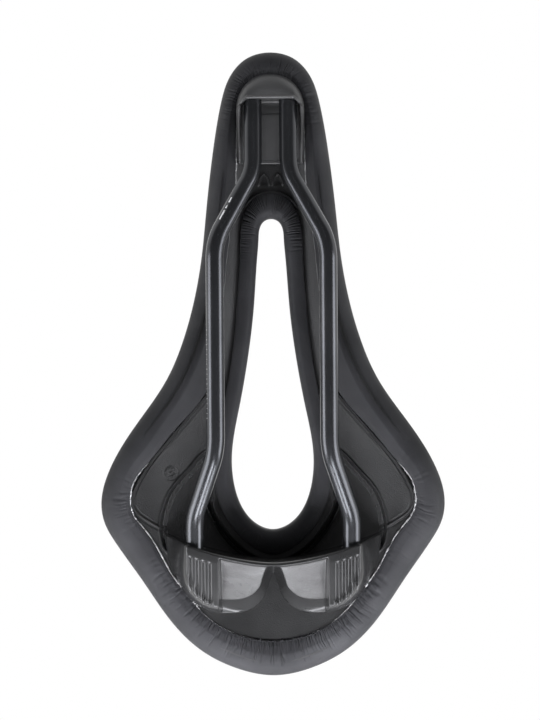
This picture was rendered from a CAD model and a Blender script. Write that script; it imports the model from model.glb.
"""Looks of a short-nosed bicycle saddle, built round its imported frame.

The frame's axes: X to the side, Y forwards to the nose, Z up. The origin lies half way between the two
rails. Shapes are worked out in millimetres, and mesh_object turns them into metres.
"""

import math

import bpy
import numpy as np
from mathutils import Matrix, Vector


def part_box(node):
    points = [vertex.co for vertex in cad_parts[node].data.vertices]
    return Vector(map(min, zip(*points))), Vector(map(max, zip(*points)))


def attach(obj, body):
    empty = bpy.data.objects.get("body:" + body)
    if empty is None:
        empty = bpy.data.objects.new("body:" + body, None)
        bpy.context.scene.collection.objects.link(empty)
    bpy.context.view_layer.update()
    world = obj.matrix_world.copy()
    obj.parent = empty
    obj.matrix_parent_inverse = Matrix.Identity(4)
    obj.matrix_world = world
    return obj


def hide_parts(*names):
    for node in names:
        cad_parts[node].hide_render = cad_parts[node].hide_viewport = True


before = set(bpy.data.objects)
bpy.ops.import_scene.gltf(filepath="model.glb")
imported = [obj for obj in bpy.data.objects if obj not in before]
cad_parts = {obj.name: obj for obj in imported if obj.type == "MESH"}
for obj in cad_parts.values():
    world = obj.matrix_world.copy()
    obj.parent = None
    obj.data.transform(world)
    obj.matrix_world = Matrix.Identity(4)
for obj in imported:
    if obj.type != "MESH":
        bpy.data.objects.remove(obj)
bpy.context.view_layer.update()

MM = 0.001
BODY = "root"

# ---------------------------------------------------------------- driving sizes, from the frame


def node_box(name):
    """A node's lowest and highest corners in millimetres."""
    low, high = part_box(name)
    return [v / MM for v in low], [v / MM for v in high]


COVER_LOW, COVER_HIGH = node_box("cover")
TAIL, NOSE = COVER_LOW[1], COVER_HIGH[1]
LENGTH = NOSE - TAIL
HALF_WIDTH = COVER_HIGH[0]
RAIL_RADIUS = 3.5
RAIL_BEND = 22.0
RAIL_CORNERS = [
    (30.8, -88.0, 17.0),
    (30.8, -63.0, 12.0),
    (22.0, -37.0, 0.0),
    (22.0, 44.0, 0.0),
    (6.9, 72.0, 12.5),
    (6.9, 105.5, 21.5),
]
SKIN = 1.0
SHELL_WALL = 3.0
NARROWEST = 20.0
EDGE_ROUNDING = 5.0

# Plan outlines, tail to nose: share of the half width, share of the length.
SADDLE_OUTLINE = [
    (0.000, 0.000),
    (0.232, 0.013),
    (0.424, 0.041),
    (0.604, 0.090),
    (0.763, 0.154),
    (0.925, 0.219),
    (0.985, 0.251),
    (1.000, 0.283),
    (0.954, 0.332),
    (0.775, 0.413),
    (0.616, 0.477),
    (0.515, 0.542),
    (0.444, 0.614),
    (0.406, 0.675),
    (0.375, 0.756),
    (0.340, 0.836),
    (0.290, 0.917),
    (0.235, 0.962),
    (0.140, 0.990),
    (0.000, 1.000),
]
CUTOUT_OUTLINE = [
    (0.000, 0.234),
    (0.116, 0.247),
    (0.184, 0.271),
    (0.231, 0.312),
    (0.240, 0.352),
    (0.193, 0.433),
    (0.140, 0.514),
    (0.104, 0.594),
    (0.082, 0.675),
    (0.074, 0.702),
    (0.064, 0.722),
    (0.042, 0.731),
    (0.000, 0.735),
]
HEM_WINDOW = [
    (0.000, 0.056),
    (0.235, 0.069),
    (0.385, 0.095),
    (0.510, 0.134),
    (0.607, 0.171),
    (0.732, 0.232),
    (0.822, 0.268),
    (0.831, 0.290),
    (0.800, 0.320),
    (0.715, 0.348),
    (0.566, 0.398),
    (0.390, 0.455),
    (0.324, 0.514),
    (0.287, 0.594),
    (0.250, 0.695),
    (0.209, 0.784),
    (0.201, 0.859),
    (0.187, 0.907),
    (0.147, 0.937),
    (0.000, 0.959),
]
CUTOUT_HEM = [
    (0.000, 0.195),
    (0.132, 0.209),
    (0.265, 0.250),
    (0.335, 0.298),
    (0.334, 0.352),
    (0.288, 0.433),
    (0.235, 0.514),
    (0.202, 0.602),
    (0.185, 0.675),
    (0.176, 0.722),
    (0.150, 0.748),
    (0.090, 0.768),
    (0.000, 0.775),
]
# Side view of the padded top: reach, height on the centre line, fall at the side.
TOP_PROFILE = [
    (-127.2, 39.0, 3.0),
    (-115.0, 44.5, 6.0),
    (-90.0, 47.0, 10.0),
    (-57.0, 46.0, 13.0),
    (-20.0, 43.5, 12.0),
    (20.0, 42.0, 9.0),
    (60.0, 41.5, 8.0),
    (95.0, 40.0, 8.0),
    (112.0, 37.0, 7.0),
    (120.5, 31.0, 4.0),
]
# Side view of the shell's underside: reach, height on the centre line, fall at the side, flat share.
UNDER_PROFILE = [
    (-127.2, 29.0, 3.0, 0.15),
    (-113.0, 32.5, 6.0, 0.15),
    (-90.0, 34.0, 9.0, 0.15),
    (-57.0, 32.5, 12.0, 0.15),
    (-20.0, 30.5, 13.0, 0.25),
    (20.0, 29.5, 12.0, 0.35),
    (60.0, 29.0, 10.5, 0.40),
    (98.0, 29.0, 10.0, 0.40),
    (106.0, 25.0, 6.5, 0.40),
    (113.5, 21.0, 3.0, 0.40),
    (120.5, 19.5, 1.0, 0.40),
]

# ---------------------------------------------------------------- curves


def smooth(stations, column):
    """A function that runs smoothly through one column of a table of stations."""
    xs = np.array([s[0] for s in stations], float)
    vs = np.array([s[column] for s in stations], float)
    before = np.maximum(np.arange(len(xs)) - 1, 0)
    after = np.minimum(np.arange(len(xs)) + 1, len(xs) - 1)
    slopes = (vs[after] - vs[before]) / (xs[after] - xs[before])

    def value(x):
        x = np.clip(x, xs[0], xs[-1])
        i = np.clip(np.searchsorted(xs, x, side="right") - 1, 0, len(xs) - 2)
        gap = xs[i + 1] - xs[i]
        t = (x - xs[i]) / gap
        rise = (1 + 2 * t) * (1 - t) ** 2 * vs[i] + t * t * (3 - 2 * t) * vs[i + 1]
        return rise + gap * (t * (1 - t) ** 2 * slopes[i] + t * t * (t - 1) * slopes[i + 1])

    return value


def smoothstep(t):
    t = np.clip(t, 0.0, 1.0)
    return t * t * (3 - 2 * t)


def spline_slopes(points, knots):
    """Slopes of the closed cubic spline through the points, one per point."""
    n = len(points)
    gaps = np.diff(np.append(knots, knots[-1] + np.linalg.norm(points[0] - points[-1])))
    system, right = np.zeros((n, n)), np.zeros((n, points.shape[1]))
    for i in range(n):
        a, b = gaps[i - 1], gaps[i]
        last, after = (i - 1) % n, (i + 1) % n
        system[i, last] += b
        system[i, i] += 2 * (a + b)
        system[i, after] += a
        right[i] = 3 * (b * (points[i] - points[last]) / a + a * (points[after] - points[i]) / b)
    return np.linalg.solve(system, right), gaps


def closed_loop(shares, samples=6000):
    """A dense closed symmetric curve in millimetres, tail, +X side, nose, -X side."""
    half = np.array([(x * HALF_WIDTH, TAIL + y * LENGTH) for x, y in shares])
    points = np.vstack([half, half[-2:0:-1] * (-1, 1)])
    knots = np.append(0, np.cumsum(np.linalg.norm(np.diff(points, axis=0), axis=1)))
    slopes, gaps = spline_slopes(points, knots)
    at = np.linspace(0, knots[-1] + gaps[-1], samples, endpoint=False)
    i = np.searchsorted(knots, at, side="right") - 1
    t, gap = ((at - knots[i]) / gaps[i])[:, None], gaps[i][:, None]
    after = (i + 1) % len(points)
    curve = (1 + 2 * t) * (1 - t) ** 2 * points[i] + t * t * (3 - 2 * t) * points[after]
    return curve + gap * (t * (1 - t) ** 2 * slopes[i] + t * t * (t - 1) * slopes[after])


def lengths_round(loop):
    """Distance along a closed curve at each of its points, with the whole length last."""
    steps = np.linalg.norm(np.roll(loop, -1, axis=0) - loop, axis=1)
    return np.append(0, np.cumsum(steps))


def points_at(loop, share):
    """Points of a closed curve at shares 0 to 1 of its length."""
    along = lengths_round(loop)
    closed = np.vstack([loop, loop[:1]])
    where = share * along[-1]
    return np.stack([np.interp(where, along, closed[:, k]) for k in range(2)], axis=1)


def outward(loop):
    """Unit normals in the plan, pointing away from the loop's inside."""
    along = np.roll(loop, -1, axis=0) - np.roll(loop, 1, axis=0)
    along /= np.linalg.norm(along, axis=1)[:, None]
    return np.stack([along[:, 1], -along[:, 0]], axis=1)


def matched(loop, others):
    """Shares of a closed curve's length that lie nearest to another loop's points, kept in order."""
    shares = lengths_round(loop)[:-1] / lengths_round(loop)[-1]
    nearest = np.array([shares[np.argmin(np.sum((loop - p) ** 2, axis=1))] for p in others])
    half = len(others) // 2
    nearest[0] = 0.0
    nearest[half] = 0.5
    nearest[1:half] = np.clip(np.maximum.accumulate(nearest[1:half]), 0, 0.5)
    nearest[half + 1 :] = 1.0 - nearest[1:half][::-1]
    wide = 41
    kernel = np.hanning(wide) / np.hanning(wide).sum()
    padded = np.concatenate([nearest[-wide:] - 1, nearest, nearest[:wide] + 1])
    return np.convolve(padded, kernel, mode="same")[wide:-wide]


half_width_at = smooth([(TAIL + y * LENGTH, x * HALF_WIDTH) for x, y in SADDLE_OUTLINE], 1)
top_line, top_fall = smooth(TOP_PROFILE, 1), smooth(TOP_PROFILE, 2)
under_line, under_fall = smooth(UNDER_PROFILE, 1), smooth(UNDER_PROFILE, 2)
flat_share = smooth(UNDER_PROFILE, 3)


def side_share(x, y):
    return np.abs(x) / np.maximum(half_width_at(y), NARROWEST)


def top_height(x, y):
    """The padded top."""
    f = side_share(x, y)
    return top_line(y) - top_fall(y) * f**2.6 - EDGE_ROUNDING * f**6


def under_height(x, y):
    """The plain underside of the base shell."""
    start = flat_share(y)
    return under_line(y) - under_fall(y) * smoothstep((side_share(x, y) - start) / (1 - start))


# ---------------------------------------------------------------- noise and distance


def value_noise(seed, *axes):
    """Smooth noise from -1 to 1 over one or two coordinates, the same in every run."""
    table = np.random.default_rng(seed).uniform(-1, 1, 4096)
    cells = [np.floor(a).astype(int) for a in axes]
    parts = [smoothstep(a - c) for a, c in zip(axes, cells)]
    if len(axes) == 1:
        low, high = table[cells[0] % 4096], table[(cells[0] + 1) % 4096]
        return low + (high - low) * parts[0]
    rows = []
    for dy in (0, 1):
        keys = [(cells[0] + dx) * 131 + (cells[1] + dy) * 977 for dx in (0, 1)]
        low, high = table[keys[0] % 4096], table[keys[1] % 4096]
        rows.append(low + (high - low) * parts[0])
    return rows[0] + (rows[1] - rows[0]) * parts[1]


def distance_to(x, y, line):
    """Distance in the plan to an open line of points."""
    best = np.full(np.shape(x), 1e9)
    for (ax, ay), (bx, by) in zip(line[:-1], line[1:]):
        dx, dy = bx - ax, by - ay
        t = np.clip(((x - ax) * dx + (y - ay) * dy) / (dx * dx + dy * dy), 0, 1)
        best = np.minimum(best, np.hypot(x - ax - t * dx, y - ay - t * dy))
    return best


def signed_distance(x, y, outline):
    """Distance to a closed outline, below 0 inside it."""
    ring = list(outline) + [outline[0]]
    inside = np.zeros(np.shape(x), bool)
    for (ax, ay), (bx, by) in zip(ring[:-1], ring[1:]):
        if ay != by:
            crosses = (ay > y) != (by > y)
            inside ^= crosses & (x < (bx - ax) * (y - ay) / (by - ay) + ax)
    return np.where(inside, -1, 1) * distance_to(x, y, ring)


def rounded_line(points, per_span=8, closed=False):
    """A smooth line through a few points (Catmull-Rom)."""
    p = [np.array(q, float) for q in points]
    ends = [p[-1], p[0], p[1]] if closed else [2 * p[0] - p[1], None, 2 * p[-1] - p[-2]]
    chain = [ends[0]] + p + (ends[1:] if closed else [ends[2]])
    out = []
    for a, b, c, d in zip(chain, chain[1:], chain[2:], chain[3:]):
        for k in range(per_span):
            t = k / per_span
            square, cube = 2 * a - 5 * b + 4 * c - d, 3 * b - a - 3 * c + d
            out.append(0.5 * (2 * b + (c - a) * t + square * t**2 + cube * t**3))
    if not closed:
        out.append(p[-1])
    return out


# ---------------------------------------------------------------- mesh helpers


def grid_faces(rows, columns, wrap_rows=False, wrap_columns=False):
    """Quads of a grid of rows by columns."""
    r = np.arange(rows if wrap_rows else rows - 1)
    c = np.arange(columns if wrap_columns else columns - 1)
    i, j = [a.ravel() for a in np.meshgrid(r, c, indexing="ij")]
    i2, j2 = (i + 1) % rows, (j + 1) % columns
    return np.stack([i * columns + j, i * columns + j2, i2 * columns + j2, i2 * columns + j], axis=1)


def mesh_object(name, points, faces, uv=None):
    """An object from points in millimetres, with its outside turned outwards and smooth shading."""
    mesh = bpy.data.meshes.new(name)
    points = np.asarray(points, float).reshape(-1, 3) * MM
    mesh.from_pydata(points.tolist(), [], [tuple(int(v) for v in f) for f in faces])
    if uv is not None:
        layer = mesh.uv_layers.new(name="span")
        index = np.empty(len(mesh.loops), int)
        mesh.loops.foreach_get("vertex_index", index)
        layer.data.foreach_set("uv", np.asarray(uv, float).reshape(-1, 2)[index].ravel())
    mesh.validate()
    mesh.shade_smooth()
    piece = bpy.data.objects.new(name, mesh)
    bpy.context.scene.collection.objects.link(piece)
    turn_outwards(mesh)
    return piece


def turn_outwards(mesh):
    """Flips a closed mesh whose volume comes out negative."""
    mesh.calc_loop_triangles()
    tri = np.empty(len(mesh.loop_triangles) * 3, int)
    mesh.loop_triangles.foreach_get("vertices", tri)
    co = np.empty(len(mesh.vertices) * 3)
    mesh.vertices.foreach_get("co", co)
    a, b, c = [co.reshape(-1, 3)[tri.reshape(-1, 3)[:, k]] for k in range(3)]
    if np.einsum("ij,ij->i", a, np.cross(b, c)).sum() < 0:
        mesh.flip_normals()


def grid_normals(grid, wrap_columns=True):
    """Unit normals of a grid of points, rows by columns, by the right-hand rule of row then column."""
    down = np.gradient(grid, axis=0)
    if wrap_columns:
        across = np.roll(grid, -1, axis=1) - np.roll(grid, 1, axis=1)
    else:
        across = np.gradient(grid, axis=1)
    normal = np.cross(down, across)
    return normal / np.maximum(np.linalg.norm(normal, axis=2), 1e-9)[:, :, None]


def finish_piece(piece, material, slot, *nodes):
    """Gives a piece its material, body, slot and the nodes that it stands for."""
    piece.data.materials.append(material)
    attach(piece, BODY)
    if nodes:
        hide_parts(*nodes)
    return piece


# ---------------------------------------------------------------- the loops that everything shares

COLUMNS = 1560
SHELL_COLUMNS = 1300
outer_dense, cutout_dense = closed_loop(SADDLE_OUTLINE), closed_loop(CUTOUT_OUTLINE)
window_dense, lip_dense = closed_loop(HEM_WINDOW), closed_loop(CUTOUT_HEM)


def loops_at(count, crowding):
    """Matching points on the outer, window, opening and opening-hem outlines, crowded at tail and nose."""
    share = np.linspace(0, 1, count, endpoint=False)
    share = share - crowding * np.sin(4 * math.pi * share)
    outer = points_at(outer_dense, share)
    window = points_at(window_dense, matched(window_dense, outer))
    lip = points_at(lip_dense, 0.5 * share + 0.5 * matched(lip_dense, outer))
    return outer, window, points_at(cutout_dense, matched(cutout_dense, lip)), lip


outer_loop, window_loop, cutout_loop, lip_loop = loops_at(COLUMNS, 0.05)
outer_normal, cutout_normal = outward(outer_loop), outward(cutout_loop)
along_outer = lengths_round(outer_loop)[:-1]
along_lip = lengths_round(lip_loop)[:-1]


def inset(loop, normal, distance):
    return loop - normal * distance


def with_height(plan, height):
    """Plan points with a height, given as numbers or as a function of x and y."""
    z = height(plan[:, 0], plan[:, 1]) if callable(height) else height
    return np.column_stack([plan, np.broadcast_to(z, len(plan))])


# ---------------------------------------------------------------- cover

HEM_ROWS = 22
HEM_DROP = SKIN  # the hem lies on the shell's underside
BOTTOM_ROUND = 8.5
TOP_ROUND = 8.0
CREASE_SHARE = 0.24  # where a pressed line runs along the flank, from the outer edge to the opening
SHARES_TO_CREASE = (0.07, 0.14, 0.20, 0.228)  # rows of the top, as shares of the way to the opening
SHARES_PAST_CREASE = (0.252, 0.28, 0.36, 0.46, 0.57, 0.68, 0.79, 0.9, 1.0)
ROLL_PROUD = 2.3


tail_share = smoothstep((-window_loop[:, 1] - 70.0) / 32.0)
wing_share = np.exp(-(((window_loop[:, 1] + 58.0) / 14.0) ** 2))
nose_share = smoothstep((window_loop[:, 1] - 80.0) / 20.0)
bottom_round = np.minimum(BOTTOM_ROUND, 0.66 * np.hypot(*(outer_loop - window_loop).T))[:, None]


def folds(seed, along, run, spacing, shortest, longest):
    """Grooves across a hem, 0 to 1 deep, each with its own depth and its own reach from the glued edge."""
    wander = 1.1 * value_noise(seed, along / 6.0) + 0.45 * value_noise(seed + 1, along / 1.9)
    phase = along / spacing + wander + 0.35 * value_noise(seed + 3, along / 2.6, run / 4.0)
    number = np.floor(phase)
    table = np.random.default_rng(seed + 2).uniform(0, 1, (2, 997))
    depth, reach = table[:, number.astype(int) % 997]
    groove = np.exp(-(((phase - number - 0.5) / 0.19) ** 2))
    fade = smoothstep((shortest + (longest - shortest) * reach**1.5 - run) / 2.4)
    return groove * (0.25 + 0.75 * depth) * fade * smoothstep((run + 0.1) / 0.5)


def gathered(plan):
    """Depth of the hem's folds at one row of points round the saddle."""
    run = np.hypot(*(plan - window_loop).T)
    fine = folds(11, along_outer, run, 0.84, 3.0, 11.0)
    deep = folds(31, along_outer, run, 2.5, 4.0, 9.5)
    ends = (tail_share + 0.6 * nose_share) * (fine + deep)
    return 0.52 * np.clip(ends + (0.45 * wing_share + 0.08) * fine, 0, 2)


def hem_rows():
    """From the glued edge of the hem out to the start of the rounded outer edge."""
    rim = inset(outer_loop, outer_normal, bottom_round)
    rows = []
    for t in np.linspace(0, 1, HEM_ROWS):
        plan = window_loop + (rim - window_loop) * t
        base = under_height(plan[:, 0], plan[:, 1]) - HEM_DROP
        swell = 0.55 * np.sin(0.5 * math.pi * min(t * 2.2, 1.0))
        rows.append(with_height(plan, base - swell + gathered(plan)))
    return rows


def round_rows(loop, normal, radius, low, high, power, count, upwards):
    """Rows over a rounded edge between two heights; radius is its depth in from the loop."""
    rows = []
    for k in range(1, count + 1):
        angle = 0.5 * math.pi * k / count
        if upwards:
            depth, rise = 1 - math.sin(angle) ** power, 1 - math.cos(angle) ** power
        else:
            depth, rise = 1 - math.cos(angle) ** power, math.sin(angle) ** power
        rows.append(with_height(inset(loop, normal, radius * depth), low + (high - low) * rise))
    return rows


def cover_outer_rows():
    """The cover's outer surface from the hem's edge, over the top, to the edge inside the opening."""
    rows = hem_rows()
    rim = rows[-1] - np.outer(gathered(rows[-1][:, :2]), (0, 0, 1))
    crown_plan = inset(outer_loop, outer_normal, TOP_ROUND)
    crown = top_height(crown_plan[:, 0], crown_plan[:, 1])
    waist = rim[:, 2] + 0.42 * (crown - rim[:, 2])
    lower = round_rows(outer_loop, outer_normal, bottom_round, rim[:, 2], waist, 1.0, 16, True)
    rows += [row + np.outer(gathered(row[:, :2]), (0, 0, 1)) for row in lower]
    rows += round_rows(outer_loop, outer_normal, TOP_ROUND, waist, crown, 1.0, 8, False)
    brink = inset(cutout_loop, cutout_normal, -5.0)
    for t in (*SHARES_TO_CREASE, CREASE_SHARE, *SHARES_PAST_CREASE):
        plan = crown_plan + (brink - crown_plan) * t
        crease = 0.55 * math.exp(-(((t - CREASE_SHARE) / 0.011) ** 2))
        dish = 0.6 * math.sin(math.pi * t) ** 2
        rows.append(with_height(plan, top_height(plan[:, 0], plan[:, 1]) - crease + dish))
    top_edge = rows[-1][:, 2]
    inner = under_height(cutout_loop[:, 0], cutout_loop[:, 1])
    rows += cutout_rows(top_edge, inner)
    return rows


def cutout_rows(top_edge, shell_level):
    """Down the wall of the opening and round the soft roll under its edge."""
    rows = []
    for k in range(1, 6):
        angle = 0.5 * math.pi * k / 5
        depth, fall = 5.0 * (1 - math.sin(angle)), 4.0 * (1 - math.cos(angle))
        rows.append(with_height(inset(cutout_loop, cutout_normal, -depth), top_edge - fall))
    low = shell_level - 0.4
    for t in (0.35, 0.7, 1.0):
        rows.append(with_height(cutout_loop, (top_edge - 4.0) * (1 - t) + low * t))
    front = smoothstep((cutout_loop[:, 1] - 30.0) / 22.0)
    rear = smoothstep((-cutout_loop[:, 1] - 50.0) / 16.0)
    for t in np.linspace(0, 1, 19)[1:]:
        plan = cutout_loop + (lip_loop - cutout_loop) * t
        base = under_height(plan[:, 0], plan[:, 1]) - HEM_DROP
        bead = math.sin(math.pi * t ** 0.72) ** 0.8
        start = (low - base) * (1 - smoothstep(t / 0.35))
        run = (1 - t) * np.hypot(*(cutout_loop - lip_loop).T)
        grooves = (0.42 * front + 0.10 * rear + 0.03) * folds(23, along_lip, run, 1.15, 4.0, 10.0)
        rows.append(with_height(plan, base + start - ROLL_PROUD * bead + grooves))
    return rows


outer_surface = np.array(cover_outer_rows())
surface_normal = grid_normals(outer_surface)
if surface_normal[len(outer_surface) // 2, :, 2].mean() < 0:
    surface_normal = -surface_normal


def make_cover(material):
    """A thin closed skin: the detailed outer surface and a plainer inner one."""
    count = len(outer_surface)
    chosen = np.unique(np.linspace(0, count - 1, 13).astype(int))[::-1]
    inside = outer_surface[chosen] - surface_normal[chosen] * SKIN * 0.9
    grid = np.concatenate([outer_surface, inside])
    steps = np.linalg.norm(np.diff(outer_surface, axis=0), axis=2).mean(axis=1)
    down = np.append(0, np.cumsum(steps))
    uv = np.zeros(grid.shape[:2] + (2,))
    uv[:, :, 0] = along_outer * MM
    uv[:, :, 1] = np.append(down, down[chosen])[:, None] * MM
    faces = grid_faces(len(grid), COLUMNS, wrap_rows=True, wrap_columns=True)
    return finish_piece(mesh_object("cover_skin", grid, faces, uv), material, "cover_microfibre", "cover")


def make_foam(material):
    """The pad inside the cover, wrapped round the shell's edges."""
    count = len(outer_surface)
    first = HEM_ROWS - 1
    chosen = np.linspace(first, count - 19, 30).astype(int)
    top = outer_surface[chosen] - surface_normal[chosen] * (SKIN + 0.15)
    inner = inset(cutout_loop, cutout_normal, -4.3)
    outer = inset(outer_loop, outer_normal, 5.3)
    bed = []
    for t in np.linspace(0, 1, 12):
        plan = inner + (outer - inner) * t
        bed.append(with_height(plan, under_height(plan[:, 0], plan[:, 1]) + SHELL_WALL + 0.1))
    step = [with_height(outer, lambda x, y: under_height(x, y) + 0.3)]
    grid = np.concatenate([top, bed, step])[:, ::2]
    faces = grid_faces(len(grid), grid.shape[1], wrap_rows=True, wrap_columns=True)
    piece = finish_piece(mesh_object("foam_core", grid, faces), material, "pad_foam", "foam_pad")
    return piece


# ---------------------------------------------------------------- base shell

PANEL_LIP = [
    (24.5, -12.0),
    (26.3, -15.8),
    (38.1, -29.6),
    (48.0, -41.5),
    (53.5, -50.5),
    (55.6, -57.0),
    (53.4, -62.0),
    (48.0, -66.0),
    (43.5, -68.4),
]
RECESS = [
    (24.6, -37.5),
    (33.0, -45.4),
    (39.3, -52.5),
    (42.3, -58.6),
    (43.9, -64.8),
    (44.1, -70.0),
    (40.0, -78.0),
    (20.0, -83.0),
    (-6.0, -84.0),
    (-6.0, -60.0),
    (12.0, -38.0),
]
PANEL_HOLLOW = 1.7  # how much deeper the panels get towards their inner side
RECESS_GAP = 3.4  # flat strip between the hem of the opening and the recess
DIAL_CENTRE, DIAL_RADIUS = (40.1, -46.2), 2.7
LEAF_OFFSET, LEAF_FRONT, LEAF_BACK, LEAF_WIDTH = 2.7, 71.4, 66.6, 2.2


def ridge(distance, width):
    """1 on a line, falling smoothly to 0 at the width."""
    return smoothstep(1 - distance / width)


def recess_distance(x, y, from_hem):
    """Distance to the edge of the sunk area behind the panels, below 0 inside it."""
    line = rounded_line(RECESS, per_span=5, closed=True)
    return np.maximum(signed_distance(np.abs(x), y, line), RECESS_GAP - from_hem)


def shell_relief(x, y, recess):
    """Height of the shell's moulded detail against its plain underside; below 0 stands out."""
    side = np.abs(x)
    lip_line = rounded_line(PANEL_LIP)
    from_lip = distance_to(side, y, lip_line)
    panel = lip_line + [(24.5, -68.0), (20.0, -12.0)]
    in_panel = smoothstep(0.5 - signed_distance(side, y, panel) / 0.9)
    sunk = smoothstep(0.5 - recess / 1.1)
    hollow = PANEL_HOLLOW * smoothstep((52.0 - side) / 22.0) * smoothstep((from_lip - 0.3) / 2.2)
    relief = (hollow - 0.7) * in_panel * (1 - sunk)
    relief += (2.8 + 0.9 * smoothstep(-recess / 9.0)) * sunk
    relief -= 0.9 * ridge(from_lip, 0.6)
    relief += 0.4 * ridge(np.abs(from_lip - 0.95), 0.45)
    outer_edge = smoothstep((-36.0 - y) / 3.0) * smoothstep((side - 24.0) / 4.0)
    return relief - 0.7 * ridge(np.abs(recess - 0.8), 0.55) * outer_edge


def opening_relief(distance, x, y):
    """The raised lip that runs round the opening, against the distance from its hem."""
    rear = smoothstep((-42.0 - y) / 10.0)
    front = smoothstep((y - 56.0) / 6.0)
    lip = smoothstep((2.9 - distance) / 0.6) * rear + smoothstep((1.3 - distance) / 0.5) * front
    step = ridge(np.abs(distance - 4.9), 0.55) * rear * smoothstep((np.abs(x) - 6.0) / 4.0)
    return -0.9 * np.clip(lip, 0, 1) - 0.6 * step


def leaf_relief(x, y):
    """Two arched pockets side by side in front of the opening, each with a fine raised edge."""
    t = (y - LEAF_BACK) / (LEAF_FRONT - LEAF_BACK)
    reach = LEAF_WIDTH * np.sqrt(np.clip(1 - np.clip(t, 0, 1) ** 1.8, 0, 1))
    edge = reach - np.abs(np.abs(x) - LEAF_OFFSET)
    ends = smoothstep(t / 0.25) * smoothstep((1.15 - t) / 0.1)
    pocket = 0.8 * smoothstep((edge - 0.3) / 0.6) * smoothstep(t / 0.5)
    return pocket - 0.75 * ridge(np.abs(edge), 0.45) * ends


def dial_relief(x, y):
    """A faint round moulding mark with plain ticks."""
    from_centre = np.hypot(x - DIAL_CENTRE[0], y - DIAL_CENTRE[1])
    angle = np.arctan2(y - DIAL_CENTRE[1], x - DIAL_CENTRE[0])
    ring = ridge(np.abs(from_centre - DIAL_RADIUS), 0.45)
    hub = ridge(np.abs(from_centre - 0.9), 0.5)
    ticks = ridge(np.abs(from_centre - 1.8), 0.5) * (np.cos(8 * angle) > 0.5)
    return 0.34 * ring + 0.34 * hub + 0.24 * ticks


SHELL_ROWS = 120


def make_shell(material):
    """A closed plate: the moulded underside and the plain side under the foam."""
    outer_line, window, opening, lip = loops_at(SHELL_COLUMNS, 0.0)
    inner = inset(opening, outward(opening), -4.2)
    outer = inset(outer_line, outward(outer_line), 5.2)
    hem_line = (lip[::10].tolist() + lip[:1].tolist())
    under, gloss = [], []
    for t in (0.0, 0.5):
        under.append(with_height(inner + (lip - inner) * t, under_height))
        gloss.append(np.zeros(SHELL_COLUMNS))
    across = np.linspace(0, 1, SHELL_ROWS)
    for t in across - 0.04 * np.sin(2 * math.pi * across):
        plan = lip + (window - lip) * t
        x, y = plan[:, 0], plan[:, 1]
        from_hem = distance_to(x, y, hem_line)
        recess = recess_distance(x, y, from_hem)
        z = under_height(x, y) + shell_relief(x, y, recess) + opening_relief(from_hem, x, y)
        under.append(with_height(plan, z + leaf_relief(x, y) + dial_relief(x, y)))
        gloss.append(smoothstep(0.5 - recess / 1.1))
    for t in (0.5, 1.0):
        under.append(with_height(window + (outer - window) * t, under_height))
        gloss.append(np.zeros(SHELL_COLUMNS))
    for t in np.linspace(1, 0, 8):
        plan = inner + (outer - inner) * t
        under.append(with_height(plan, under_height(plan[:, 0], plan[:, 1]) + SHELL_WALL - 0.05))
        gloss.append(np.zeros(SHELL_COLUMNS))
    grid = np.array(under)
    uv = np.stack([gloss, np.zeros_like(gloss)], axis=2)
    faces = grid_faces(len(grid), SHELL_COLUMNS, wrap_rows=True, wrap_columns=True)
    return finish_piece(mesh_object("shell_moulding", grid, faces, uv), material, "shell_nylon", "base_shell")


# ---------------------------------------------------------------- rear bridge

BRIDGE_REAR = [
    (0.0, -86.2),
    (1.2, -89.0),
    (3.7, -96.0),
    (9.7, -101.2),
    (18.2, -102.4),
    (27.2, -100.6),
    (33.6, -95.6),
    (38.2, -88.7),
    (41.4, -80.8),
    (43.0, -70.6),
]
BRIDGE_HALF = 43.0
RIM_HEIGHT = 8.2
BLOCK_INNER, BLOCK_OUTER = 21.2, 34.0
SCOOP_BAND = 3.2  # width of the sloping band at the side of each scoop
SCOOP_SQUEEZE = 0.52  # how much narrower the band is there than at the rear
FLUTE_FIRST, FLUTE_LAST, FLUTE_PITCH = 24.9, 32.4, 2.5


def rim_reach(x):
    """Y of the bridge's front rim."""
    return -81.2 + 10.9 * (np.abs(x) / BRIDGE_HALF) ** 1.65


def rim_height(x):
    return RIM_HEIGHT + 15.5 * smoothstep((np.abs(x) - 33.0) / 11.0)


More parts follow.
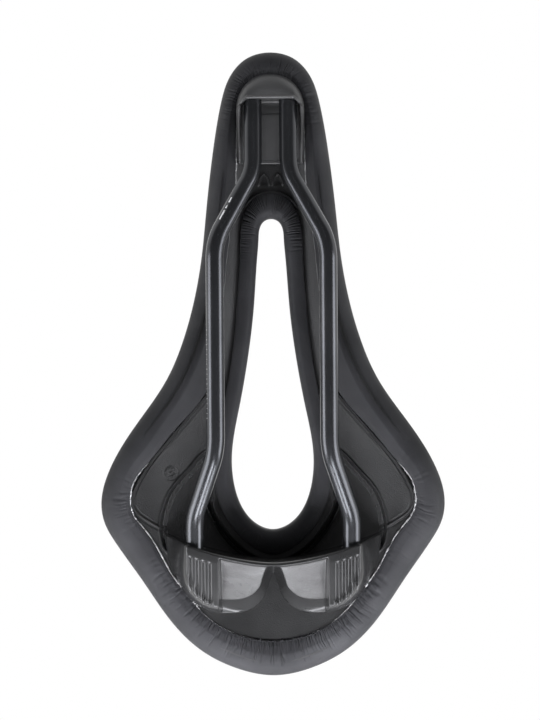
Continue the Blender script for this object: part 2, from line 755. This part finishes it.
def bridge_height(x, y):
    """Underside of the bridge: two fluted sockets, two scoops and the rounded outer ends."""
    side = np.abs(x)
    behind = rim_reach(x) - y
    shell = under_height(x, y)
    from_rear = distance_to(side, y, rounded_line(BRIDGE_REAR))
    rim = rim_height(x)
    block = rim + 0.20 * behind - 1.0 * smoothstep(behind / 4.0)
    ribs = np.abs(np.sin(math.pi * (side - FLUTE_FIRST) / FLUTE_PITCH)) ** 0.55
    fluted = smoothstep((side - FLUTE_FIRST + 1.4) / 0.3) * smoothstep((FLUTE_LAST + 1.4 - side) / 0.3)
    flute_run = smoothstep((behind - 3.4) / 1.2) * smoothstep((from_rear - 2.6) / 1.2)
    block = block + 1.1 * (1 - ribs) * fluted * flute_run
    block = block - 1.0 * np.exp(-(((from_rear - 4.4) / 1.3) ** 2)) * (0.25 + 0.75 * ribs * fluted)
    block_end = 1 - (1 - np.clip(from_rear / 4.2, 0, 1)) ** 2.4
    outer_fall = smoothstep((side - BLOCK_OUTER + 0.8) / (BRIDGE_HALF - BLOCK_OUTER + 1.2))
    block = block + (shell - 3.2 - block) * outer_fall**1.25
    block = shell + (block - shell) * block_end
    squeezed_line = rounded_line([(px, SCOOP_SQUEEZE * py) for px, py in BRIDGE_REAR])
    squeezed = distance_to(side, SCOOP_SQUEEZE * y, squeezed_line)
    band = np.clip(squeezed / SCOOP_BAND, 0, 1)
    scoop = shell - 1.0 + (rim + 1.8 + 0.84 * behind - shell) * band
    scoop = scoop - 0.5 * ridge(np.abs(band - 0.97), 0.14)
    scoop = shell + (scoop - shell) * smoothstep(from_rear / 0.5)
    rim_bead = smoothstep((1.7 - behind) / 0.8)
    scoop = scoop + (rim - scoop) * rim_bead
    is_block = smoothstep((side - BLOCK_INNER + 0.9) / 1.4)
    z = scoop + (block - scoop) * is_block
    round_off = 0.7 * (1 - np.clip(behind / 1.0, 0, 1)) ** 2
    return np.minimum(z + round_off, shell + 0.2)


def make_bridge(material):
    """A closed moulding: detailed underside, front wall and a back that lies in the shell."""
    columns, rows = 380, 104
    x = np.linspace(-BRIDGE_HALF, BRIDGE_HALF, columns)
    ends = smooth([(p[0], p[1]) for p in BRIDGE_REAR], 1)
    front, rear = rim_reach(x), ends(np.abs(x))
    rear = np.minimum(rear, front - 0.3)
    grid = []
    for lift, ahead in ((1.0, 0.75), (0.55, 0.7), (0.2, 0.55), (0.06, 0.3)):
        y = front + ahead
        low = bridge_height(x, front)
        grid.append(np.column_stack([x, y, low + (under_height(x, y) + 0.4 - low) * lift]))
    for t in np.linspace(0, 1, rows) ** 1.15:
        y = front + (rear - front) * t
        grid.append(np.column_stack([x, y, bridge_height(x, y)]))
    for t in (0.97, 0.66, 0.33, 0.05):
        y = front + (rear - front) * t
        grid.append(np.column_stack([x, y, under_height(x, y) + 0.6]))
    grid = np.array(grid)
    faces = grid_faces(len(grid), columns, wrap_rows=True).tolist()
    count = len(grid)
    faces.append([r * columns for r in range(count)])
    faces.append([r * columns + columns - 1 for r in reversed(range(count))])
    return finish_piece(mesh_object("bridge_moulding", grid, faces), material, "bridge_nylon", "rear_bridge")


# ---------------------------------------------------------------- nose holder

HOLDER_HALF = 13.3
HOLDER_REAR = 75.5
HOOD_LIP = 100.6
HOOD_LOW = 15.2
HOOD_FRONT = 110.8


def hood_lip(x):
    """Y of the hood's lip, straight with a chamfer at each side."""
    return HOOD_LIP - 3.4 * np.clip((np.abs(x) - 9.2) / (HOLDER_HALF - 9.2), 0, 1)


def hood_front(x):
    arch = np.sqrt(np.clip(1 - (np.abs(x) / 13.4) ** 2.1, 0, 1))
    return HOOD_LIP - 3.4 + (HOOD_FRONT - HOOD_LIP + 3.4) * arch


def channel_height(x, y):
    """The open channel behind the hood, with a cheek at each side and two ledges across its floor."""
    side = np.abs(x)
    floor = under_height(x, y) - 1.3 + 0.35 * smoothstep((y - 95.0) / 0.5)
    floor = floor - 0.35 * smoothstep((77.0 - y) / 0.5)
    back = np.clip((hood_lip(x) - y) / (HOOD_LIP - HOLDER_REAR), 0, 1)
    cheek = HOOD_LOW + 0.6 + (24.5 - HOOD_LOW) * back ** 1.4
    step = 0.8 * smoothstep((12.0 - side) / 0.5) + 2.6 * smoothstep((side - 12.3) / 1.0)
    wall = smoothstep((side - 10.9) / 0.8)
    return floor + (cheek + step - floor) * wall


def hood_height(x, y):
    lip, front = hood_lip(x), hood_front(x)
    reach = np.clip((y - lip) / np.maximum(front - lip, 0.5), 0, 1)
    shell = under_height(x, y) - 0.2
    swell = (1 - reach ** 2.3) ** 0.55 * (1 - np.clip(np.abs(x) / 13.7, 0, 1) ** 9) ** 0.5
    lip_bead = 0.6 * ridge(np.abs(y - lip - 0.6), 0.8)
    return shell + (HOOD_LOW - shell) * swell - lip_bead


def make_holder(material):
    columns = 150
    x = np.linspace(-HOLDER_HALF, HOLDER_HALF, columns)
    lip, front = hood_lip(x), hood_front(x)
    grid = []
    for t in np.linspace(0, 1, 60):
        y = HOLDER_REAR + (lip - 0.45 - HOLDER_REAR) * t
        grid.append(np.column_stack([x, y, channel_height(x, y)]))
    low = hood_height(x, lip)
    high = grid[-1][:, 2]
    for t in (0.35, 0.75, 0.95):
        grid.append(np.column_stack([x, lip - 0.45 + 0.3 * t, high + (low + 0.4 - high) * t]))
    for t in np.linspace(0, 1, 50) ** 1.2:
        y = lip + (front - lip) * t
        grid.append(np.column_stack([x, y, hood_height(x, y)]))
    for t in (0.98, 0.6, 0.3, 0.02):
        y = HOLDER_REAR + (front - HOLDER_REAR) * t
        grid.append(np.column_stack([x, y, under_height(x, y) + 0.5]))
    grid = np.array(grid)
    faces = grid_faces(len(grid), columns, wrap_rows=True).tolist()
    count = len(grid)
    faces.append([r * columns for r in range(count)])
    faces.append([r * columns + columns - 1 for r in reversed(range(count))])
    return finish_piece(mesh_object("nose_moulding", grid, faces), material, "holder_nylon", "nose_holder")


# ---------------------------------------------------------------- rails


def rounded_path(corners, radius, step):
    """Points along straight runs joined by tangent arcs."""
    corners = [np.array(c, float) for c in corners]
    points, start = [], corners[0]
    for before, corner, after in zip(corners, corners[1:], corners[2:]):
        back = (before - corner) / np.linalg.norm(before - corner)
        ahead = (after - corner) / np.linalg.norm(after - corner)
        half = math.acos(float(back @ ahead)) / 2
        reach = radius / math.tan(half)
        inward = (back + ahead) / np.linalg.norm(back + ahead)
        centre = corner + inward * radius / math.sin(half)
        first, last = corner + back * reach, corner + ahead * reach
        runs = max(int(np.linalg.norm(first - start) / step), 1)
        points += [start + (first - start) * k / runs for k in range(runs)]
        turns = max(int(radius * (math.pi - 2 * half) / (step / 4)), 2)
        for k in range(turns):
            spoke = (first - centre) * (1 - k / turns) + (last - centre) * k / turns
            points.append(centre + spoke * radius / np.linalg.norm(spoke))
        start = last
    runs = max(int(np.linalg.norm(corners[-1] - start) / step), 1)
    points += [start + (corners[-1] - start) * k / runs for k in range(runs + 1)]
    return np.array(points)


def rod_grid(path, radii, around):
    """Rings along a path, one radius for each of its points, without twist."""
    along = np.gradient(path, axis=0)
    along /= np.linalg.norm(along, axis=1)[:, None]
    side = np.cross(along[0], (0, 0, 1.0))
    rings = []
    for p, a, r in zip(path, along, radii):
        side = side - a * (side @ a)
        side /= np.linalg.norm(side)
        other = np.cross(a, side)
        angle = np.linspace(0, 2 * math.pi, around, endpoint=False)[:, None]
        rings.append(p + r * (np.cos(angle) * side + np.sin(angle) * other))
    return np.array(rings)


def capped_tube(name, rings):
    rows, around = rings.shape[:2]
    faces = grid_faces(rows, around, wrap_columns=True).tolist()
    faces.append(list(range(around)))
    faces.append([(rows - 1) * around + k for k in reversed(range(around))])
    return mesh_object(name, rings, faces)


def make_rail(side, word, material):
    """One rail, a bent round bar with its end edges broken."""
    path = rounded_path(RAIL_CORNERS, RAIL_BEND, 2.0) * (side, 1, 1)
    ends = [path[0] + (path[1] - path[0]) * t for t in (0.0, 0.12, 0.25)]
    tips = [path[-1] + (path[-2] - path[-1]) * t for t in (0.25, 0.12, 0.0)]
    path = np.vstack([ends, path[1:-1], tips])
    radii = np.full(len(path), RAIL_RADIUS)
    radii[[0, -1]] = RAIL_RADIUS - 0.5
    radii[[1, -2]] = RAIL_RADIUS - 0.15
    piece = capped_tube("rail_bar_" + word, rod_grid(path, radii, 64))
    return finish_piece(piece, material, "rail_paint", "rail_" + word)


def printed_patches(name, patches, material):
    """Thin printed patches on the left rail, each with its start, end and two angles round the rail."""
    path = rounded_path(RAIL_CORNERS, RAIL_BEND, 1.0)
    along = np.append(0, np.cumsum(np.linalg.norm(np.diff(path, axis=0), axis=1)))
    points, faces = [], []
    for start_y, start, end, angle_low, angle_high in patches:
        first = len(points)
        for s in np.interp(start_y, path[:, 1], along) + np.linspace(start, end, 5):
            p = np.array([np.interp(s, along, path[:, k]) for k in range(3)])
            q = np.array([np.interp(s + 0.5, along, path[:, k]) for k in range(3)])
            a = (q - p) / np.linalg.norm(q - p)
            out = np.cross(a, (0, 0, 1.0))
            out /= np.linalg.norm(out)
            down = np.cross(a, out)
            down *= -np.sign(down[2])
            for lift in (0.0, 0.045):
                for angle in np.radians(np.linspace(angle_low, angle_high, 5)):
                    spoke = out * math.sin(angle) + down * math.cos(angle)
                    points.append(p + spoke * (RAIL_RADIUS + lift))
        ring = [0, 1, 2, 3, 4, 9, 8, 7, 6, 5]
        for row in range(4):
            a0, b0 = first + row * 10, first + (row + 1) * 10
            for k in range(10):
                m, n = ring[k], ring[(k + 1) % 10]
                faces.append((a0 + m, a0 + n, b0 + n, b0 + m))
        for base in (first, first + 40):
            for k in range(4):
                faces.append((base + k, base + k + 1, base + k + 6, base + k + 5))
    return finish_piece(mesh_object(name, points, faces), material, "rail_paint")


def make_marks(faint, bright):
    """Plain fore-and-aft ticks printed along the left rail, and three dashes on its front slope."""
    ticks = [(0, 1.9 * k - 24.5, 1.9 * k - 24.15, 62, 82 if k % 5 == 0 else 74) for k in range(19)]
    printed_patches("rail_ticks", ticks, faint)
    starts_and_sizes = ((0, 4.4), (5.4, 1.3), (8.2, 2.4))
    dashes = [(50.7, start, start + size, 37, 45) for start, size in starts_and_sizes]
    printed_patches("rail_dashes", dashes, bright)


# ---------------------------------------------------------------- glue line


def make_glue(material):
    """The uneven bead of adhesive that shows along the hem's cut edge."""
    normal = outward(window_loop)
    y = window_loop[:, 1]
    bare = smoothstep((-38.0 - y) / 12.0) * smoothstep((y + 108.0) / 12.0)
    bare = np.maximum(bare, 0.7 * smoothstep((y - 60.0) / 8.0) * smoothstep((104.0 - y) / 6.0))
    lumps = 0.24 + 0.16 * value_noise(5, along_outer / 0.9) + 0.08 * value_noise(6, along_outer / 4.0)
    thick = 0.06 + bare * lumps
    sway = 0.14 * value_noise(8, along_outer / 2.2) - 0.15
    loop = window_loop + normal * sway[:, None]
    z = under_height(loop[:, 0], loop[:, 1]) - 0.45
    rings = []
    for angle in np.linspace(0, 2 * math.pi, 8, endpoint=False):
        plan = loop + normal * (thick * math.cos(angle))[:, None]
        rings.append(with_height(plan, z + thick * 1.7 * math.sin(angle)))
    grid = np.array(rings)
    faces = grid_faces(8, COLUMNS, wrap_rows=True, wrap_columns=True)
    return finish_piece(mesh_object("hem_glue_line", grid, faces), material, "shell_nylon")


# ---------------------------------------------------------------- materials


def new_material(name, **settings):
    """A material whose Principled shader has the named inputs set; returns it with its nodes and links."""
    material = bpy.data.materials.new(name)
    material.use_nodes = True
    nodes, links = material.node_tree.nodes, material.node_tree.links
    shader = nodes["Principled BSDF"]
    for key, value in settings.items():
        shader.inputs[key.replace("_", " ")].default_value = value
    return material, nodes, links, shader


def object_noise(nodes, links, scale, detail=4.0, stretch=(1, 1, 1)):
    """Noise over the object's own coordinates; scale is in waves per metre."""
    where = nodes.new("ShaderNodeTexCoord")
    mapping = nodes.new("ShaderNodeMapping")
    mapping.inputs["Scale"].default_value = stretch
    noise = nodes.new("ShaderNodeTexNoise")
    noise.inputs["Scale"].default_value = scale
    noise.inputs["Detail"].default_value = detail
    links.new(where.outputs["Object"], mapping.inputs["Vector"])
    links.new(mapping.outputs["Vector"], noise.inputs["Vector"])
    return noise.outputs["Fac"]


def ramp(nodes, links, source, low, high, start=0.3, end=0.7):
    """Maps a factor onto two colours, or onto two greys."""
    node = nodes.new("ShaderNodeValToRGB")
    for element, place, tone in zip(node.color_ramp.elements, (start, end), (low, high)):
        element.position = place
        element.color = tuple(tone) + (1,) if hasattr(tone, "__len__") else (tone, tone, tone, 1)
    links.new(source, node.inputs["Fac"])
    return node.outputs["Color"]


def bump(nodes, links, height, strength, distance, below=None):
    node = nodes.new("ShaderNodeBump")
    node.inputs["Strength"].default_value = strength
    node.inputs["Distance"].default_value = distance
    links.new(height, node.inputs["Height"])
    if below is not None:
        links.new(below, node.inputs["Normal"])
    return node.outputs["Normal"]


def cover_material():
    """Black microfibre: a fine grain, faint cloudiness, and hair-fine creases across the hem."""
    material, nodes, links, shader = new_material("black_microfibre", Roughness=0.58, IOR=1.45)
    shader.inputs["Specular IOR Level"].default_value = 0.36
    shader.inputs["Sheen Weight"].default_value = 0.03
    shader.inputs["Sheen Roughness"].default_value = 0.45
    cloud = object_noise(nodes, links, 45.0)
    tone = ramp(nodes, links, cloud, (0.012, 0.012, 0.013), (0.020, 0.020, 0.0215))
    links.new(tone, shader.inputs["Base Color"])
    links.new(ramp(nodes, links, object_noise(nodes, links, 120.0), 0.56, 0.70), shader.inputs["Roughness"])
    uv = nodes.new("ShaderNodeUVMap")
    uv.uv_map = "span"
    mapping = nodes.new("ShaderNodeMapping")
    mapping.inputs["Scale"].default_value = (1.0, 0.16, 1.0)
    crease = nodes.new("ShaderNodeTexNoise")
    crease.inputs["Scale"].default_value = 950.0
    crease.inputs["Detail"].default_value = 3.0
    links.new(uv.outputs["UV"], mapping.inputs["Vector"])
    links.new(mapping.outputs["Vector"], crease.inputs["Vector"])
    fine = bump(nodes, links, object_noise(nodes, links, 2600.0, 2.0), 0.22, 0.0003)
    links.new(bump(nodes, links, crease.outputs["Fac"], 0.10, 0.0006, fine), shader.inputs["Normal"])
    return material


def moulded_material(name, dark, light, rough, grain, strength, polish=0.0):
    """Moulded nylon: a spark-eroded grain, slight flow marks and uneven gloss, smoother where U is 1."""
    material, nodes, links, shader = new_material(name, IOR=1.5)
    tone = ramp(nodes, links, object_noise(nodes, links, 60.0), dark, light)
    links.new(tone, shader.inputs["Base Color"])
    gloss = ramp(nodes, links, object_noise(nodes, links, 85.0, 5.0), rough[0], rough[1])
    if polish:
        where, split = nodes.new("ShaderNodeUVMap"), nodes.new("ShaderNodeSeparateXYZ")
        where.uv_map = "span"
        smoother = nodes.new("ShaderNodeMath")
        smoother.operation = "MULTIPLY_ADD"
        smoother.inputs[1].default_value = -polish
        links.new(where.outputs["UV"], split.inputs["Vector"])
        links.new(split.outputs["X"], smoother.inputs[0])
        links.new(gloss, smoother.inputs[2])
        gloss = smoother.outputs["Value"]
    links.new(gloss, shader.inputs["Roughness"])
    fine = bump(nodes, links, object_noise(nodes, links, grain, 3.0), strength, 0.0004)
    wavy = bump(nodes, links, object_noise(nodes, links, 70.0, 2.0), 0.05, 0.004, fine)
    links.new(wavy, shader.inputs["Normal"])
    return material


def rail_material():
    """Satin black finish on steel, with a very fine orange peel."""
    material, nodes, links, shader = new_material("satin_black_rail", Metallic=0.85, IOR=1.5)
    dark, light = (0.060, 0.062, 0.066), (0.085, 0.087, 0.092)
    tone = ramp(nodes, links, object_noise(nodes, links, 40.0), dark, light)
    links.new(tone, shader.inputs["Base Color"])
    links.new(ramp(nodes, links, object_noise(nodes, links, 120.0), 0.22, 0.27), shader.inputs["Roughness"])
    peel = bump(nodes, links, object_noise(nodes, links, 400.0, 2.0), 0.012, 0.0003)
    links.new(peel, shader.inputs["Normal"])
    return material


def plain_material(name, colour, rough, metallic=0.0, grain=800.0):
    material, nodes, links, shader = new_material(name, Metallic=metallic)
    darker = tuple(0.8 * c for c in colour)
    tone = ramp(nodes, links, object_noise(nodes, links, 150.0), darker, colour)
    links.new(tone, shader.inputs["Base Color"])
    gloss = ramp(nodes, links, object_noise(nodes, links, 90.0), rough - 0.06, rough + 0.06)
    links.new(gloss, shader.inputs["Roughness"])
    links.new(bump(nodes, links, object_noise(nodes, links, grain), 0.1, 0.0003), shader.inputs["Normal"])
    return material


# ---------------------------------------------------------------- camera, light, floor

CAMERA_DISTANCE = 1.3
VIEW_HEIGHT = 0.2786  # what the image's height spans at the rails' level
CENTRE = (0.0008, -0.00194)
ROLL = math.radians(0.41)  # the camera is not quite square to the saddle
FLOOR_LEVEL = -1.6
FLOOR_REACH = 60.0


def add_camera():
    """Straight below the saddle, looking up, with the nose towards the top of the image."""
    data = bpy.data.cameras.new("camera")
    data.angle = 2 * math.atan(VIEW_HEIGHT / 2 / CAMERA_DISTANCE)
    camera = bpy.data.objects.new("camera", data)
    camera.location = (CENTRE[0], CENTRE[1], -CAMERA_DISTANCE)
    camera.rotation_euler = (0, math.pi, ROLL)
    bpy.context.scene.collection.objects.link(camera)
    bpy.context.scene.camera = camera


def add_soft_light(name, place, size, power, in_diffuse=True, in_glossy=True):
    """A rectangular soft light facing the saddle; the last two say which reflections show it."""
    data = bpy.data.lights.new(name, "AREA")
    data.shape = "RECTANGLE"
    data.size, data.size_y = size
    data.energy = power
    data.color = (0.98, 0.99, 1.04)
    light = bpy.data.objects.new(name, data)
    light.location = place
    direction = -light.location
    light.rotation_euler = direction.to_track_quat("-Z", "Y").to_euler()
    light.visible_camera = False
    light.visible_diffuse = in_diffuse
    light.visible_glossy = in_glossy
    bpy.context.scene.collection.objects.link(light)


def studio_world():
    """White above the horizon and dark below it, where a studio's floor is in shade."""
    world = bpy.data.worlds.new("studio")
    world.use_nodes = True
    nodes, links = world.node_tree.nodes, world.node_tree.links
    where = nodes.new("ShaderNodeTexCoord")
    split = nodes.new("ShaderNodeSeparateXYZ")
    shade = nodes.new("ShaderNodeMapRange")
    shade.inputs["From Min"].default_value = -0.35
    shade.inputs["From Max"].default_value = -0.02
    shade.inputs["To Min"].default_value = 0.04
    shade.inputs["To Max"].default_value = 1.0
    links.new(where.outputs["Generated"], split.inputs["Vector"])
    links.new(split.outputs["Z"], shade.inputs["Value"])
    links.new(shade.outputs["Result"], nodes["Background"].inputs["Color"])
    return world


def add_floor():
    """A pale floor far below, which throws no light back up at the saddle."""
    mesh = bpy.data.meshes.new("floor")
    corners = [(-1, -1), (1, -1), (1, 1), (-1, 1)]
    points = [(x * FLOOR_REACH, y * FLOOR_REACH, FLOOR_LEVEL) for x, y in corners]
    mesh.from_pydata(points, [], [(0, 1, 2, 3)])
    floor = bpy.data.objects.new("floor", mesh)
    material, _, _, shader = new_material("pale_floor", Roughness=0.9)
    shader.inputs["Base Color"].default_value = (0.85, 0.85, 0.85, 1)
    mesh.materials.append(material)
    floor.visible_diffuse = False
    floor.visible_glossy = False
    bpy.context.scene.collection.objects.link(floor)


def add_surroundings():
    """The studio: world, floor and soft lights."""
    bpy.context.scene.world = studio_world()
    bpy.context.scene.view_settings.view_transform = "Standard"
    for side, word in ((1, "left"), (-1, "right")):
        add_soft_light("side_light_" + word, (side * 1.05, -0.24, -0.34), (0.9, 0.6), 8.0)
    add_soft_light("hood_light", (0.0, 0.15, -0.11), (0.06, 0.06), 0.17, in_glossy=False)
    add_soft_light("front_light", (0.0, 0.42, -1.15), (0.9, 0.3), 1.2, in_glossy=False)
    add_soft_light("rear_light", (0.0, -0.60, -0.45), (0.22, 0.22), 1.5, in_diffuse=False)
    add_soft_light("low_rear_light", (0.0, -0.95, -0.20), (1.3, 0.25), 11.0, in_diffuse=False)
    add_soft_light("tail_light", (0.0, -0.21, -0.10), (0.22, 0.05), 2.0, in_glossy=False)
    add_floor()


# ---------------------------------------------------------------- the whole saddle


def repaint(name, material):
    """A carried-over node keeps its shape and gets a new material."""
    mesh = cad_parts[name].data
    mesh.materials.clear()
    mesh.materials.append(material)


add_camera()
add_surroundings()
microfibre = cover_material()
shell_nylon = moulded_material(
    "textured_nylon", (0.008,) * 3, (0.014,) * 3, rough=(0.33, 0.43), grain=2300.0, strength=0.5, polish=0.14
)
bridge_nylon = moulded_material(
    "glossy_nylon", (0.012,) * 3, (0.02,) * 3, rough=(0.17, 0.27), grain=1400.0, strength=0.06
)
holder_nylon = moulded_material(
    "satin_nylon", (0.03,) * 3, (0.045,) * 3, rough=(0.30, 0.42), grain=1800.0, strength=0.12
)
rail_finish = rail_material()
make_cover(microfibre)
make_foam(plain_material("pad_foam", (0.05, 0.05, 0.055), 0.85))
make_shell(shell_nylon)
make_bridge(bridge_nylon)
make_holder(holder_nylon)
make_rail(1, "left", rail_finish)
make_rail(-1, "right", rail_finish)
faint_print = plain_material("faint_print", (0.2, 0.2, 0.2), 0.5)
white_print = plain_material("white_print", (0.8, 0.8, 0.8), 0.5)
make_marks(faint_print, white_print)
make_glue(plain_material("dried_glue", (0.24, 0.24, 0.24), 0.32))
boot_rubber = plain_material("boot_rubber", (0.02, 0.02, 0.02), 0.7)
screw_steel = plain_material("screw_steel", (0.45, 0.45, 0.47), 0.35, metallic=1.0)
for node in ("rear_boot_left", "rear_boot_right"):
    repaint(node, boot_rubber)
for node in ("bridge_screws", "nose_screw"):
    repaint(node, screw_steel)
